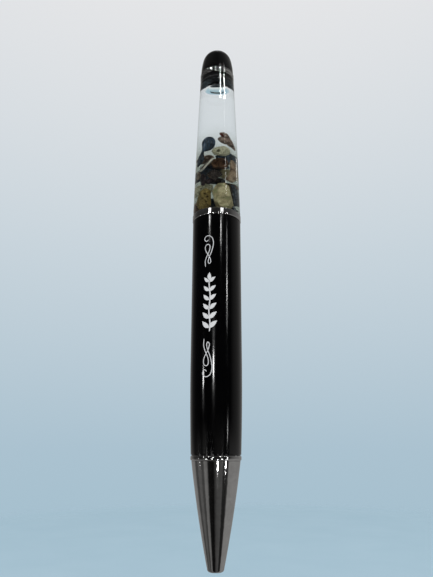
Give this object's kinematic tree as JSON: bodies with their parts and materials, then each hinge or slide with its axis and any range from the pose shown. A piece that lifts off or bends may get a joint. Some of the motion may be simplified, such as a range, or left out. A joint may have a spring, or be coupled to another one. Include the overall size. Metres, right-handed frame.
{
  "type": "twist ballpoint pen with a shell-filled chamber",
  "caption": "Twist ballpoint pen: black barrel, chromed cone and rings, and a clear oil-filled upper chamber of paua chips, shells and coral.",
  "frame": {"origin": "centre of the end of the nose cone, on the pen's axis", "axes": "+Z along the axis from the tip to the cap; -Y is the front, where the marks are"},
  "size_m": [0.0128, 0.0128, 0.1384],
  "materials": {
    "chrome_trim": "polished",
    "black_lacquer": "gloss",
    "black_gloss": "gloss",
    "brass_insert": "satin",
    "nickel": "satin",
    "steel": "satin",
    "white_nylon": "satin",
    "black_nylon": "satin",
    "seal_rubber": "matte",
    "ink": "gloss",
    "clear_acrylic": "gloss",
    "clear_oil": "gloss",
    "ochre_coral": "matte",
    "pale_stone": "matte",
    "pale_coral": "matte",
    "paua": "gloss",
    "purple_shell": "gloss",
    "dark_shell": "satin",
    "brown_shell": "satin",
    "banded_shell": "satin",
    "white_shell": "satin",
    "tan_shell": "satin",
    "grey_shell": "satin"
  },
  "bodies": {
    "lower_half": {"nose_cone": "chrome_trim", "thread_bush": "brass_insert", "barrel": "black_lacquer", "retaining_ring": "steel", "guide_tube": "white_nylon", "return_spring": "steel"},
    "upper_half": {"cam_sleeve": "white_nylon", "coupler": "black_nylon", "friction_ring": "seal_rubber", "centre_ring": "chrome_trim", "chamber_vial": "clear_acrylic", "filling_oil": "clear_oil", "upper_plug": "black_gloss", "plug_seal": "seal_rubber", "cap_ring": "chrome_trim", "end_cap": "black_gloss", "yellow_coral": "ochre_coral", "pale_stone": "pale_stone", "blue_green_sliver": "paua", "purple_sliver": "purple_shell", "ribbed_shell": "dark_shell", "banded_shell": "banded_shell", "pale_disc": "white_shell", "bowl_shell": "brown_shell", "tan_flake": "tan_shell", "pale_coral": "pale_coral", "paua_paddle": "paua", "whelk_shell": "grey_shell", "back_paua_chip": "paua", "back_coral": "pale_coral", "back_cockle": "tan_shell", "back_stone": "pale_stone", "back_paua_shard": "paua", "back_turban_shell": "grey_shell", "back_paua_flake": "paua", "gap_chip_1": "dark_shell", "gap_chip_2": "paua", "gap_chip_3": "brown_shell", "gap_chip_4": "purple_shell", "gap_chip_5": "dark_shell"},
    "refill": {"refill_tube": "brass_insert", "ink_column": "ink", "refill_tip": "nickel", "writing_ball": "steel", "refill_carrier": "white_nylon", "drive_pin": "steel"}
  },
  "joints": [
    {"name": "twist", "type": "hinge", "parent": "lower_half", "child": "upper_half", "pos_m": [0, 0, 0.0831], "axis": [0, 0, 1], "range_deg": [0, 180]},
    {"name": "refill_slide", "type": "slide", "parent": "lower_half", "child": "refill", "axis": [0, 0, -1], "range_m": [0, 0.0045], "deforming": ["return_spring"]}
  ],
  "couplings": [
    {"joint": "twist", "follows": "refill_slide", "rad_per_m": 698.1}
  ]
}
